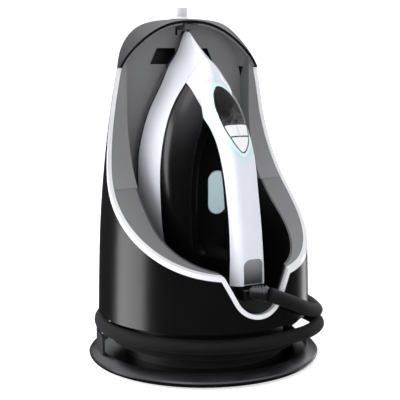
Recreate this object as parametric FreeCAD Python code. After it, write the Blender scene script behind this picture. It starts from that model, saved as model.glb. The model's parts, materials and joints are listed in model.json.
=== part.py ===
"""Steam-generator clothes iron docked in its round tower, with the steam hose wound on the base.

Millimetres, +Z up, origin at the centre of the base on the floor, front of the tower towards -Y.
The iron stands nose up in the tower with its sole plate facing the back wall (+Y).
"""
import FreeCAD, Part
import math
import os

V = FreeCAD.Vector
os.makedirs("parts", exist_ok=True)

# ---------------------------------------------------------------- driving sizes: tower
FOOT_R = 126.0            # widest radius of the foot
FOOT_RIM_Z = 6.5          # height of that widest line
FOOT_UNDER_R = 121.0      # radius where the foot meets the floor
FOOT_LIP_R = 113.0        # lip between the sloping ring and the hose channel
FOOT_LIP_Z = 14.0
CHANNEL_Z = 10.0          # floor of the hose channel
FOOT_FLOOR = 2.5          # plate thickness of the foot
FEET_Z = 1.2              # how far the rubber feet lift the foot
DRUM_R = 88.0             # drum that the hose winds on
SHELL_Z = 53.0            # lower edge of the outer shell
SHELL_WALL = 2.6
SEAM_Z = 313.5            # seam between the shell and the hood
TRIM_WIDTH = 4.5          # bright strip round the opening
TRIM_DEPTH = 4.4
POCKET_R = 78.0           # round front of the iron's pocket
POCKET_CENTRE_Y = -29.0
POCKET_BACK_Y = 46.5      # wall behind the sole plate
POCKET_BACK_HALF = 76.0
POCKET_FLOOR_Z = 68.0
LINER_WALL = 2.2
COLLAR_SPLIT_Z = 189.0    # parting line between collar and back liner
NOTCH_R = 32.0            # round bottom of the hose notch
NOTCH_CENTRE_Z = 97.0
NOTCH_CORNER_X = 41.0
NOTCH_CORNER_Z = 106.3
OPENING_BACK_Y = 33.9     # where the opening's edge stands upright
HOOD_FRONT_Y = 26.0
HOOD_WALL = 3.0
TANK_Y = 70.0             # flat front of the water tank
TANK_Z0, TANK_Z1 = 62.0, 302.0
TANK_WALL = 2.2

# ---------------------------------------------------------------- driving sizes: iron
SOLE_Y = 42.5             # ironing face
SOLE_THICK = 4.0
SURROUND_THICK = 3.0
SKIRT_TOP_Y = -5.5
SKIRT_WALL = 2.4
COVER_CROWN_Y = -28.5

# ---------------------------------------------------------------- clearances
GAP = 0.3                 # between pieces of one body that sit side by side
PLAY = 0.4                # round pieces that move
SEAT = 0.05               # between a fixed piece and its pocket

# ---------------------------------------------------------------- hose
HOSE_D = 14.5
HOSE_START = (5.0, -121.2, 91.5)
HOSE_NEXT = (17.0, -121.9, 86.5)
# Lead-in from the handle over the front rim to the winding.
LEAD_IN = [HOSE_START, HOSE_NEXT, (31.0, -120.2, 80.3), (45.0, -115.8, 74.0), (58.0, -109.2, 68.0),
           (70.5, -101.2, 62.8), (82.5, -92.0, 58.0), (93.5, -80.5, 54.0)]
# Azimuth, radius and height of the wound hose's centre line at a few places round the drum.
WINDING = [(58.0, 124.8, 50.3), (95.0, 124.6, 49.0), (140.0, 120.5, 44.5), (180.0, 117.5, 43.0),
           (240.0, 114.0, 41.8), (270.0, 114.0, 41.3), (330.0, 109.0, 38.5), (375.0, 110.5, 37.3),
           (420.0, 129.0, 35.6), (460.0, 117.0, 33.6), (500.0, 106.0, 34.0), (540.0, 101.0, 32.0),
           (620.0, 98.5, 29.4), (700.0, 97.8, 28.8), (745.0, 98.0, 27.2), (795.0, 98.5, 18.9),
           (832.0, 98.5, 18.8)]
STEP = 18.0               # azimuth from one point of the winding to the next
GLAND_R = 8.4             # socket in the channel that the hose ends in
GLAND_LENGTH = 17.0
SPIGOT_R = 6.0            # its pipe through the drum
STEAM_PIPE_R = 3.0


# ================================================================ helpers
def save(name, shape):
    """Write one node as a STEP file and say how many solids it has."""
    solids = [s for s in shape.Solids if s.Volume > 0.5]
    if not solids:
        raise ValueError(name + " is empty")
    result = solids[0] if len(solids) == 1 else Part.makeCompound(solids)
    result.exportStep("parts/" + name + ".step")
    volume = sum(s.Volume for s in solids)
    print("%-22s %2d solid(s) %9.0f mm3 valid=%s" % (name, len(solids), volume, result.isValid()))
    return result


def box(x0, x1, y0, y1, z0, z1):
    return Part.makeBox(x1 - x0, y1 - y0, z1 - z0, V(x0, y0, z0))


def cyl(radius, start, end):
    """Cylinder between two points."""
    axis = V(*end) - V(*start)
    return Part.makeCylinder(radius, axis.Length, V(*start), axis)


def ring(outer, inner, z0, z1):
    return cyl(outer, (0, 0, z0), (0, 0, z1)).cut(cyl(inner, (0, 0, z0 - 1), (0, 0, z1 + 1)))


def spline(points, **options):
    curve = Part.BSplineCurve()
    curve.interpolate([V(*p) for p in points], **options)
    return curve


def polygon(points):
    return Part.makePolygon([V(*p) for p in points] + [V(*points[0])])


def prism(points, direction):
    return Part.Face(polygon(points)).extrude(V(*direction))


def union(shapes):
    return shapes[0].multiFuse(list(shapes[1:])) if len(shapes) > 1 else shapes[0]


def turned_z(shape, degrees):
    copy = shape.copy()
    copy.rotate(V(0, 0, 0), V(0, 0, 1), degrees)
    return copy


def polar(azimuth, radius, z):
    """Point at an azimuth counted from the front (-Y) towards +X, in degrees."""
    a = math.radians(azimuth)
    return (radius * math.sin(a), -radius * math.cos(a), z)


def sector(azimuth0, azimuth1, r0, r1, z0, z1):
    """Upright curved wall between two azimuths."""
    middle = 0.5 * (azimuth0 + azimuth1)
    outline = []
    for azimuth, radius in ((azimuth0, r0), (middle, r0), (azimuth1, r0), (azimuth1, r1), (middle, r1),
                            (azimuth0, r1)):
        outline.append(V(*polar(azimuth, radius, z0)))
    edges = [Part.Arc(outline[0], outline[1], outline[2]).toShape(),
             Part.makeLine(outline[2], outline[3]),
             Part.Arc(outline[3], outline[4], outline[5]).toShape(),
             Part.makeLine(outline[5], outline[0])]
    return Part.Face(Part.Wire(edges)).extrude(V(0, 0, z1 - z0))


# ================================================================ tower surfaces
# Radius of the tower by height: a slow taper, then the round top of the hood.
TOWER_SIDE = [(115.1, SHELL_Z), (113.9, 100.0), (111.6, 155.0), (107.1, 208.0), (99.6, 268.0),
              (91.7, SEAM_Z)]
TOWER_TOP = [(91.7, SEAM_Z), (89.4, 328.0), (82.3, 344.5), (67.0, 359.0), (40.0, 364.6), (0.0, 366.0)]


def tower_solid(inset, bottom):
    """Solid of revolution of the whole tower, shrunk by inset."""
    side = [(r - inset, 0, z) for r, z in TOWER_SIDE]
    top = [(max(r - inset, 0.0), 0, z - inset * (1.0 - r / 91.7)) for r, z in TOWER_TOP]
    top[-1] = (0, 0, 366.0 - inset)
    side[0] = (side[0][0], 0, SHELL_Z)
    top_curve = spline(top, InitialTangent=V(-0.13, 0, 1), FinalTangent=V(-1, 0, 0))
    edges = [spline(side).toShape(), top_curve.toShape(),
             Part.makeLine(V(*top[-1]), V(0, 0, SHELL_Z)),
             Part.makeLine(V(0, 0, SHELL_Z), V(*side[0]))]
    solid = Part.Face(Part.Wire(edges)).revolve(V(0, 0, 0), V(0, 0, 1), 360)
    if not isinstance(solid, Part.Solid):
        solid = Part.Solid(solid.Shells[0]) if solid.Shells else solid
    return solid.cut(box(-200, 200, -200, 200, 0, bottom)) if bottom > SHELL_Z else solid


# Side view of the opening: from over the front rim, up the sweep, to the upright back edge (Y, Z).
SWEEP = [(-135.0, 103.0), (-108.0, 105.5), (-77.0, 118.5), (-44.0, 139.5), (-11.0, 166.0), (11.0, 190.6),
         (27.0, 226.0), (OPENING_BACK_Y, 266.0)]


def opening(offset):
    """Everything in front of and above the opening's edge, moved into the opening by offset."""
    base = spline([(0, y, z) for y, z in SWEEP], FinalTangent=V(0, 0.02, 1))
    first, last = base.FirstParameter, base.LastParameter
    steps = 11
    edge = []
    for i in range(steps + 1):
        t = first + (last - first) * i / steps
        point = base.value(t)
        along = base.tangent(t)[0]
        edge.append((0, point.y - along.z * offset, point.z + along.y * offset))
    curve = spline(edge)
    low, high = V(*edge[0]), V(*edge[-1])
    corners = [high, V(0, high.y, 400), V(0, low.y, 400), low]
    edges = [curve.toShape()] + [Part.makeLine(corners[i], corners[i + 1]) for i in range(3)]
    face = Part.Face(Part.Wire(edges))
    face.translate(V(-140, 0, 0))
    sweep = face.extrude(V(280, 0, 0))
    return sweep.fuse(notch(offset)).removeSplitter()


def notch(offset):
    """Round-bottomed notch in the front rim for the hose, shrunk by offset."""
    dx, dz = NOTCH_CORNER_X, NOTCH_CORNER_Z - NOTCH_CENTRE_Z
    reach = math.hypot(dx, dz)
    angle = math.atan2(dz, dx) - math.acos(NOTCH_R / reach)
    normal = V(math.cos(angle), 0, math.sin(angle))
    side = V(-normal.z, 0, normal.x)
    centre = V(0, -140, NOTCH_CENTRE_Z)
    right = centre + normal * (NOTCH_R - offset)
    left = V(-right.x, right.y, right.z)
    bottom = centre - V(0, 0, NOTCH_R - offset)
    right_top = right + side * 60
    left_top = V(-right_top.x, right_top.y, right_top.z)
    edges = [Part.Arc(left, bottom, right).toShape(), Part.makeLine(right, right_top),
             Part.makeLine(right_top, left_top), Part.makeLine(left_top, left)]
    return Part.Face(Part.Wire(edges)).extrude(V(0, 120, 0))


def pocket(offset, z0, z1):
    """Plan of the pocket that holds the iron, grown by offset."""
    back, half = POCKET_BACK_Y + offset, POCKET_BACK_HALF + offset
    radius = POCKET_R + offset
    centre = POCKET_CENTRE_Y
    points = [V(half, back, z0), V(radius, centre, z0), V(0, centre - radius, z0), V(-radius, centre, z0),
              V(-half, back, z0)]
    edges = [Part.makeLine(points[0], points[1]), Part.Arc(points[1], points[2], points[3]).toShape(),
             Part.makeLine(points[3], points[4]), Part.makeLine(points[4], points[0])]
    return Part.Face(Part.Wire(edges)).extrude(V(0, 0, z1 - z0))


# Front arch of the hood, half outline (X, Z).
ARCH = [(86.0, SEAM_Z), (81.5, 321.5), (73.5, 331.0), (62.0, 341.5), (46.0, 352.5), (26.0, 361.0), (0.0, 364.3)]


def arch(y, grow):
    """Closed wire of the hood's front arch at depth y."""
    half = [(x * (1.0 + grow / 86.0), z + grow * (z - SEAM_Z) / 51.0) for x, z in ARCH]
    full = [(x, y, z) for x, z in half] + [(-x, y, z) for x, z in reversed(half[:-1])]
    curve = spline(full)
    low = SEAM_Z - 1.0
    right, left = V(*full[0]), V(*full[-1])
    return Part.Wire([curve.toShape(), Part.makeLine(left, V(left.x, y, low)),
                      Part.makeLine(V(left.x, y, low), V(right.x, y, low)),
                      Part.makeLine(V(right.x, y, low), right)])


def hood_block(inset):
    """Hood as a full block: the tower's top, narrowed towards its front arch."""
    taper = Part.makeLoft([arch(HOOD_FRONT_Y, -inset), arch(HOOD_FRONT_Y + 16, 11 - inset)], True, True)
    rear = box(-140, 140, HOOD_FRONT_Y + 16, 140, SEAM_Z - 1, 400)
    return tower_solid(inset, SEAM_Z).common(taper.fuse(rear))


tower_outer = tower_solid(0.0, SHELL_Z)
tower_inner = tower_solid(SHELL_WALL, SHELL_Z)
liner_space = tower_solid(TRIM_DEPTH + GAP, SHELL_Z)
opening_edge = opening(0.0)
opening_face = opening(TRIM_WIDTH)
below_seam = box(-140, 140, -140, 140, 0, SEAM_Z)
tank_block = box(-140, 140, TANK_Y, 140, TANK_Z0, TANK_Z1)


# ================================================================ foot and hose winding
def foot_profile():
    """Half section of the foot: sloping ring outside, hose channel inside, thin floor."""
    z0 = FEET_Z
    points = [V(20, 0, z0), V(FOOT_UNDER_R - 2, 0, z0), V(FOOT_R, 0, FOOT_RIM_Z),
              V(FOOT_R - 1.2, 0, FOOT_RIM_Z + 1.6), V(FOOT_LIP_R + 0.8, 0, FOOT_LIP_Z),
              V(FOOT_LIP_R, 0, FOOT_LIP_Z - 0.6),
              V(FOOT_LIP_R - 0.8, 0, CHANNEL_Z), V(DRUM_R + 1, 0, CHANNEL_Z),
              V(DRUM_R + 1, 0, CHANNEL_Z - FOOT_FLOOR), V(FOOT_LIP_R - 3, 0, CHANNEL_Z - FOOT_FLOOR),
              V(FOOT_LIP_R - 3, 0, z0 + FOOT_FLOOR), V(20, 0, z0 + FOOT_FLOOR)]
    under = Part.Arc(points[1], V(FOOT_R - 2.0, 0, z0 + 1.6), points[2]).toShape()
    edges = [Part.makeLine(points[0], points[1]), under]
    edges += [Part.makeLine(points[i], points[(i + 1) % len(points)]) for i in range(2, len(points))]
    return Part.Face(Part.Wire(edges))


FOOT_PAD_R, FOOT_PAD_CIRCLE = 9.0, 100.0
pads = [polar(36 + 72 * i, FOOT_PAD_CIRCLE, 0) for i in range(5)]
screws_at = [polar(72 * i, DRUM_R - 9.0, 0) for i in range(5)]

foot = foot_profile().revolve(V(0, 0, 0), V(0, 0, 1), 360)
foot = foot.fuse(cyl(21, (0, 0, FEET_Z), (0, 0, FEET_Z + FOOT_FLOOR)))
inner_floor = cyl(DRUM_R + 1, (0, 0, CHANNEL_Z - FOOT_FLOOR), (0, 0, CHANNEL_Z)).cut(
    cyl(DRUM_R - 20, (0, 0, 0), (0, 0, 20)))
foot = foot.fuse(inner_floor)
for x, y, _ in pads:
    foot = foot.fuse(cyl(FOOT_PAD_R + 2.5, (x, y, FEET_Z), (x, y, FEET_Z + FOOT_FLOOR + 2)))
    foot = foot.cut(cyl(FOOT_PAD_R + SEAT, (x, y, 0), (x, y, FEET_Z + FOOT_FLOOR)))
for x, y, _ in screws_at:
    foot = foot.cut(cyl(2.2, (x, y, 0), (x, y, 20)))
foot = foot.removeSplitter()
save("foot_base", foot)

rubber = [cyl(FOOT_PAD_R, (x, y, 0), (x, y, FEET_Z + FOOT_FLOOR)) for x, y, _ in pads]
save("rubber_feet", Part.makeCompound(rubber))



def winding_point(azimuth):
    """Centre line of the wound hose at an azimuth, eased between the listed places."""
    for (a0, r0, z0), (a1, r1, z1) in zip(WINDING, WINDING[1:]):
        if azimuth <= a1:
            share = (azimuth - a0) / (a1 - a0)
            ease = 0.5 - 0.5 * math.cos(math.pi * share)
            return polar(azimuth, r0 + (r1 - r0) * ease, z0 + (z1 - z0) * ease)
    return polar(*WINDING[-1])


# the hose ends in a socket along its last run; a spigot leads from there through the drum
turn_steps = round((WINDING[-1][0] - WINDING[0][0]) / STEP)
hose_route = LEAD_IN + [winding_point(WINDING[0][0] + STEP * i) for i in range(turn_steps + 1)]
hose_end = V(*hose_route[-1])
gland_axis = (hose_end - V(*hose_route[-2])).normalize()
gland_middle = hose_end + gland_axis * (0.55 * GLAND_LENGTH)
spigot_azimuth = math.degrees(math.atan2(gland_middle.x, -gland_middle.y))
spigot_end = polar(spigot_azimuth, DRUM_R - 10, gland_middle.z)
MAINS_AZ, MAINS_Z = 205.0, 24.0
MAINS_R, MAINS_BORE = 6.5, 3.6
BOSS_HEIGHT = 16.0
drum = ring(DRUM_R, DRUM_R - 2.5, CHANNEL_Z, SHELL_Z)
for i, (x, y, _) in enumerate(screws_at):
    web = box(-1.2, 1.2, -(DRUM_R - 1), -(DRUM_R - 14), CHANNEL_Z, CHANNEL_Z + BOSS_HEIGHT)
    drum = drum.fuse(cyl(5, (x, y, CHANNEL_Z), (x, y, CHANNEL_Z + BOSS_HEIGHT))).fuse(turned_z(web, 72 * i))
for x, y, _ in screws_at:
    drum = drum.cut(cyl(1.7, (x, y, 0), (x, y, CHANNEL_Z + 13)))
drum = drum.cut(cyl(SPIGOT_R + SEAT, tuple(gland_middle), spigot_end))
drum = drum.cut(cyl(MAINS_R + SEAT, polar(MAINS_AZ, DRUM_R - 12, MAINS_Z), polar(MAINS_AZ, DRUM_R + 8, MAINS_Z)))
drum = drum.removeSplitter()
save("winding_drum", drum)

base_screws = []
for x, y, _ in screws_at:
    shank = cyl(1.65, (x, y, CHANNEL_Z - FOOT_FLOOR), (x, y, CHANNEL_Z + 12))
    head = cyl(3.6, (x, y, CHANNEL_Z - FOOT_FLOOR - 2.4), (x, y, CHANNEL_Z - FOOT_FLOOR))
    slot = box(-0.5, 0.5, -4, 4, 0, 0.9).translated(V(x, y, CHANNEL_Z - FOOT_FLOOR - 2.4))
    base_screws.append(shank.fuse(head).cut(slot))
save("base_screws", Part.makeCompound(base_screws))

DECK_R = 111.8
deck = cyl(DECK_R, (0, 0, SHELL_Z), (0, 0, SHELL_Z + 2.5)).cut(box(-46, 46, 52, 64, 50, 60))
# curved stop that keeps the first hose turns from slipping under the deck
deck = deck.fuse(sector(25, 112, 104, 107, 45.5, SHELL_Z))
save("deck_plate", deck)

GUARD_R = 116.6
GUARD_TOP = 33.5
GUARD_SPAN = 30.0
for name, start in (("hose_guard_left", -125.0), ("hose_guard_rear", 128.0)):
    wall = sector(start, start + GUARD_SPAN, GUARD_R - 1.3, GUARD_R + 1.3, 9.0, GUARD_TOP)
    upright = [e for e in wall.Edges if abs(e.BoundBox.ZLength) < 0.01 and e.BoundBox.ZMin > GUARD_TOP - 0.1
               and e.Length < 3]
    wall = wall.makeFillet(6.0, upright) if upright else wall
    wall = wall.cut(foot)
    save(name, max(wall.Solids, key=lambda s: s.Volume))

gland = cyl(GLAND_R, tuple(hose_end), tuple(hose_end + gland_axis * GLAND_LENGTH))
gland = gland.fuse(cyl(SPIGOT_R, tuple(gland_middle), spigot_end))
gland = gland.cut(cyl(STEAM_PIPE_R - 0.8, tuple(hose_end - gland_axis), tuple(gland_middle)))
gland = gland.cut(cyl(STEAM_PIPE_R - 0.8, tuple(gland_middle), polar(spigot_azimuth, DRUM_R - 11, gland_middle.z)))
save("hose_gland", gland)

# ================================================================ tower casing
shell = tower_outer.cut(tower_inner).common(below_seam)
shell = shell.cut(opening_edge).cut(tank_block)
SWITCH_Y, SWITCH_Z = 12.0, 88.0
switch_cut = box(90, 130, SWITCH_Y - 8, SWITCH_Y + 8, SWITCH_Z - 13, SWITCH_Z + 13)
shell = shell.cut(switch_cut)
save("outer_shell", max(shell.Solids, key=lambda s: s.Volume))

trim = tower_outer.cut(tower_solid(TRIM_DEPTH, SHELL_Z)).common(below_seam)
trim = trim.common(opening_edge).cut(opening_face)
save("opening_trim", trim)

# Lining: a plate along the opening's edge, and the walls and floor of the pocket inside it.
plate = liner_space.common(opening(TRIM_WIDTH - LINER_WALL - 0.4)).cut(opening_face)
walls = pocket(LINER_WALL, POCKET_FLOOR_Z - 2.5, 400).cut(pocket(0, POCKET_FLOOR_Z, 400))
walls = walls.common(liner_space).cut(opening_face)
lower_half = box(-140, 140, -140, 140, 0, COLLAR_SPLIT_Z - GAP / 2)
collar = plate.cut(pocket(LINER_WALL + SEAT, 0, 400)).common(lower_half)
save("pocket_collar", max(collar.Solids, key=lambda s: s.Volume))
well = walls.common(lower_half)
save("pocket_well", max(well.Solids, key=lambda s: s.Volume))

# back liner with the catch slots over the nose and a bevelled finger recess
hood_space = hood_block(HOOD_WALL + GAP)
liner = plate.cut(pocket(0, 0, 400)).fuse(walls).common(below_seam.fuse(hood_space))
hood_lining = hood_space.cut(hood_block(HOOD_WALL + GAP + LINER_WALL))
hood_lining = hood_lining.common(box(-140, 140, HOOD_FRONT_Y + 1.5, POCKET_BACK_Y + 1, SEAM_Z + 1, 400))
liner = liner.fuse(hood_lining.cut(box(-10, 10, 0, POCKET_BACK_Y + 2, 340, 400)))
liner = liner.common(box(-140, 140, -140, 140, COLLAR_SPLIT_Z + GAP / 2, 400))
RECESS_Z0, RECESS_Z1, RECESS_LOW, RECESS_HIGH = 317.0, 334.5, 40.3, 31.7
RECESS_DEPTH = 10.0


def recess(grow, y0, y1):
    low, high = RECESS_LOW + grow, RECESS_HIGH + grow
    return prism([(-low, y0, RECESS_Z0 - grow), (low, y0, RECESS_Z0 - grow), (high, y0, RECESS_Z1 + grow),
                  (-high, y0, RECESS_Z1 + grow)], (0, y1 - y0, 0))


liner = liner.fuse(recess(2.0, POCKET_BACK_Y, POCKET_BACK_Y + RECESS_DEPTH + 2))
liner = liner.cut(recess(0.0, POCKET_BACK_Y - 5, POCKET_BACK_Y + RECESS_DEPTH))
CATCH_HALF = 5.4
CATCH_Y, CATCH_Z = 30.5, 354.4
SLOT_HALF, SLOT_Z0 = 8.6, 348.5     # slots in the back wall beside the catch
for side in (-1, 1):
    inner_x, outer_x = side * (CATCH_HALF + 0.6), side * SLOT_HALF
    liner = liner.cut(box(min(inner_x, outer_x), max(inner_x, outer_x), POCKET_BACK_Y - 1, POCKET_BACK_Y + 5,
                          SLOT_Z0, CATCH_Z + 0.5))
liner = liner.cut(box(-SLOT_HALF, SLOT_HALF, POCKET_BACK_Y - 1, POCKET_BACK_Y + 5, CATCH_Z, 358.0))
save("back_liner", max(liner.Solids, key=lambda s: s.Volume))

LOCK_TRAVEL = 6.0
KNOB_Y = 52.5
hood = hood_block(0).cut(hood_block(HOOD_WALL))
arch_hole = Part.Face(arch(HOOD_FRONT_Y - 3, -HOOD_WALL)).extrude(V(0, 12, 0))
hood = hood.cut(arch_hole)
hood = hood.cut(box(-3.4, 3.4, KNOB_Y - 3.4, KNOB_Y + LOCK_TRAVEL + 3.4, 350, 380))
save("hood", max(hood.Solids, key=lambda s: s.Volume))

# ================================================================ nose lock: knob, bar and catch
NOSE_Z = 352.0
KNOB_R = 8.2
KNOB_BASE_Z = 366.3
knob = cyl(KNOB_R, (0, KNOB_Y, KNOB_BASE_Z + 2), (0, KNOB_Y, 378.5))
knob = knob.makeFillet(0.8, [e for e in knob.Edges if e.BoundBox.ZMin > 378])
flare = Part.makeCone(KNOB_R + 2.4, KNOB_R, 2.0, V(0, KNOB_Y, KNOB_BASE_Z))
stem = box(-3, 3, KNOB_Y - 3, KNOB_Y + 3, 357.3, KNOB_BASE_Z)
save("lock_knob", knob.fuse(flare).fuse(stem).removeSplitter())
catch = box(-CATCH_HALF, CATCH_HALF, CATCH_Y, KNOB_Y + 6, 355.0, 357.3)
catch = catch.fuse(box(-CATCH_HALF, CATCH_HALF, CATCH_Y, CATCH_Y + 4, CATCH_Z, 360.0)).removeSplitter()
save("lock_catch", catch)

# ================================================================ inside the drum and the tower
GENERATOR_R = 48.0
generator = cyl(GENERATOR_R, (-16, -14, 14), (-16, -14, 40))
generator = generator.cut(cyl(GENERATOR_R - 6, (-16, -14, 20), (-16, -14, 34)))
groove = Part.makeTorus(36, 4 + SEAT, V(-16, -14, 40))
heater = Part.makeTorus(36, 4, V(-16, -14, 40))
heater = heater.cut(box(-30, -2, -60, -40, 30, 50))
generator = generator.cut(groove)
save("steam_generator", generator)
save("generator_heater", heater)
save("generator_thermostat", cyl(8, (-16, -14, 40), (-16, -14, 48)).fuse(box(-24, -8, -16, -12, 48, 50)))

pump = cyl(15, (52, -30, 27), (52, 6, 27)).fuse(cyl(7, (52, 6, 27), (52, 22, 27)))
pump = pump.fuse(cyl(4, (52, 22, 27), (52, 30, 27)))
save("water_pump", pump)
cradle = box(34, 70, -22, -2, CHANNEL_Z, 26).cut(cyl(15 + SEAT, (52, -40, 27), (52, 20, 27)))
save("pump_bracket", cradle)

board = union([box(-52, 52, 56, 57.6, 92, 205), box(-30, -8, 50.5, 56, 110, 140),
               cyl(8, (22, 50.5, 120), (22, 56, 120)), box(5, 40, 51.5, 56, 160, 182)])
save("control_board", board.removeSplitter())
bay_wall = box(-100, 100, TANK_Y - 3.0, TANK_Y - 0.6, SHELL_Z + 2.6, TANK_Z1 + 2)
bay_wall = bay_wall.common(tower_solid(SHELL_WALL + GAP, SHELL_Z))
SEAT_Z = 76.0
bay_wall = bay_wall.cut(cyl(7 + SEAT, (0, 50, SEAT_Z), (0, 90, SEAT_Z)))
save("tank_bay_wall", bay_wall)
valve_seat = cyl(7, (0, TANK_Y - 14, SEAT_Z), (0, TANK_Y - 0.6, SEAT_Z))
valve_seat = valve_seat.cut(cyl(4.6, (0, TANK_Y - 9, SEAT_Z), (0, TANK_Y + 2, SEAT_Z))).cut(
    cyl(2, (0, TANK_Y - 20, SEAT_Z), (0, TANK_Y, SEAT_Z)))
save("tank_valve_seat", valve_seat)


def tube_along(points, radius):
    """Round tube along straight runs joined by tangent arcs; prints the tightest arc."""
    pts = [V(*p) for p in points]
    edges, at, radii = [], pts[0], []
    for i in range(1, len(pts) - 1):
        before, after = pts[i] - pts[i - 1], pts[i + 1] - pts[i]
        shorter = min(before.Length, after.Length)
        turn = before.getAngle(after)
        back, ahead = V(before).normalize(), V(after).normalize()
        trim_length = 0.45 * shorter
        start, end = pts[i] - back * trim_length, pts[i] + ahead * trim_length
        arc_radius = trim_length / math.tan(turn / 2)
        radii.append(arc_radius)
        inward = (ahead - back).normalize()
        middle = pts[i] + inward * (math.hypot(arc_radius, trim_length) - arc_radius)
        if (start - at).Length > 1e-6:
            edges.append(Part.makeLine(at, start))
        edges.append(Part.Arc(start, middle, end).toShape())
        at = end
    edges.append(Part.makeLine(at, pts[-1]))
    path = Part.Wire(edges)
    first = (pts[1] - pts[0]).normalize()
    section = Part.Wire([Part.makeCircle(radius, pts[0], first)])
    solid = path.makePipeShell([section], True, False)
    expected = math.pi * radius * radius * path.Length
    print("  tube length %.0f mm, volume / expected %.4f, radii %.0f to %.0f mm" % (
        path.Length, solid.Volume / expected, min(radii), max(radii)))
    return solid


feed = tube_along([(0, 56, SEAT_Z), (0, 53.5, SEAT_Z - 1), (2, 52, 70), (8, 55, 60), (20, 56, 50), (38, 50, 38),
                   (50, 42, 29), (52, 34, 27), (52, 30, 27)], 2.5)
save("feed_pipe", feed.cut(valve_seat))
steam_pipe = tube_along([(-16, 34, 28), (-16, 43, 28), (-8, 53, 26), (6, 58, 23), (22, 57, 20.5), (38, 50, 19.2),
                         polar(spigot_azimuth, DRUM_R - 24, gland_middle.z), spigot_end], STEAM_PIPE_R)
save("steam_pipe", steam_pipe)

mains = cyl(MAINS_R, polar(MAINS_AZ, DRUM_R - 6, MAINS_Z), polar(MAINS_AZ, DRUM_R + 1.2, MAINS_Z)).cut(
    cyl(MAINS_BORE, polar(MAINS_AZ, DRUM_R - 10, MAINS_Z), polar(MAINS_AZ, DRUM_R + 9, MAINS_Z)))
save("mains_gland", mains)

# ================================================================ power switch on the right side
bezel = box(106, 117.5, SWITCH_Y - 8 + SEAT, SWITCH_Y + 8 - SEAT, SWITCH_Z - 13 + SEAT, SWITCH_Z + 13 - SEAT)
bezel = bezel.cut(box(108, 130, SWITCH_Y - 5.5, SWITCH_Y + 5.5, SWITCH_Z - 10.5, SWITCH_Z + 10.5))
save("switch_bezel", bezel)
rocker = prism([(111, SWITCH_Y - 5, SWITCH_Z - 9.5), (118, SWITCH_Y - 5, SWITCH_Z - 9.5),
                (116.6, SWITCH_Y - 5, SWITCH_Z), (118, SWITCH_Y - 5, SWITCH_Z + 9.5),
                (111, SWITCH_Y - 5, SWITCH_Z + 9.5)], (0, 10, 0))
rocker.rotate(V(112, 0, SWITCH_Z), V(0, 1, 0), 6)
save("power_rocker", rocker)

# ================================================================ removable water tank
DOOR_HALF, DOOR_Z0, DOOR_Z1 = 22.0, 274.0, 296.0


def tank_region(inset):
    return box(-140, 140, TANK_Y + GAP + inset, 140, TANK_Z0 + GAP + inset, TANK_Z1 - GAP - inset)


door_well = box(-DOOR_HALF, DOOR_HALF, 80, 140, DOOR_Z0, DOOR_Z1)
tank = tower_outer.common(tank_region(0))
tank = tank.cut(tower_solid(TANK_WALL + 4.0, SHELL_Z).common(tank_region(TANK_WALL)))
door = tower_outer.cut(tower_solid(TANK_WALL, SHELL_Z)).common(
    box(-DOOR_HALF + GAP, DOOR_HALF - GAP, 80, 140, DOOR_Z0 + GAP, DOOR_Z1 - GAP))
tank = tank.cut(tower_outer.cut(tower_solid(TANK_WALL + GAP, SHELL_Z)).common(door_well))
tank = tank.cut(box(-DOOR_HALF + 5, DOOR_HALF - 5, 80, 140, DOOR_Z0 + 5, DOOR_Z1 - 4))
tank = tank.cut(cyl(5.0 + SEAT, (0, TANK_Y - 5, SEAT_Z), (0, TANK_Y + 8, SEAT_Z)))
save("water_tank", max(tank.Solids, key=lambda s: s.Volume))
save("tank_fill_door", max(door.Solids, key=lambda s: s.Volume))
valve = cyl(5.0, (0, TANK_Y + 0.3, SEAT_Z), (0, TANK_Y + 8, SEAT_Z)).fuse(
    cyl(4.0, (0, TANK_Y - 5, SEAT_Z), (0, TANK_Y + 4, SEAT_Z)))
save("tank_valve", valve.removeSplitter())
seal = cyl(4.55, (0, TANK_Y - 3.6, SEAT_Z), (0, TANK_Y - 2.0, SEAT_Z)).cut(
    cyl(4.0, (0, TANK_Y - 6, SEAT_Z), (0, TANK_Y, SEAT_Z)))
save("tank_seal", seal)

# ================================================================ iron: plan outlines (X, Z), nose up
# Right half from the nose tip to the middle of the heel.
SOLE_OUTLINE = [(0.0, 352.0), (10.5, 335.0), (22.0, 317.0), (31.0, 298.5), (47.0, 268.5), (56.0, 243.0), (60.4, 222.0),
                (61.6, 200.0), (61.4, 178.0), (59.6, 155.0), (55.0, 133.0), (45.0, 114.5), (26.0, 102.5),
                (0.0, 98.0)]
DECK_OUTLINE = [(0.0, 325.0), (7.5, 320.0), (15.5, 311.0), (24.5, 299.0), (37.0, 281.0), (46.5, 260.0),
                (52.0, 239.0), (55.2, 218.0), (56.2, 196.0), (55.4, 170.0), (53.0, 140.0), (45.0, 118.0),
                (26.0, 105.0), (0.0, 100.0)]


def outline(points, y, wide=1.0, tall=1.0, centre_z=110.0):
    """Closed outline at depth y, scaled in width and, about centre_z, in length."""
    right = [(x * wide, y, centre_z + (z - centre_z) * tall) for x, z in points]
    left = [(-x, y, z) for x, y, z in reversed(right[1:-1])]
    curve = Part.BSplineCurve()
    curve.interpolate([V(*p) for p in right + left], PeriodicFlag=True)
    return Part.Wire([curve.toShape()])


def inset_scale(inset, half_width=61.6, half_length=127.0):
    return {"wide": 1.0 - inset / half_width, "tall": 1.0 - inset / half_length, "centre_z": 225.0}


def slab(points, y0, y1, inset=0.0):
    """Flat plate of a plan outline between two depths."""
    wire = outline(points, y1, **inset_scale(inset))
    return Part.Face(wire).extrude(V(0, y0 - y1, 0))


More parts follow.
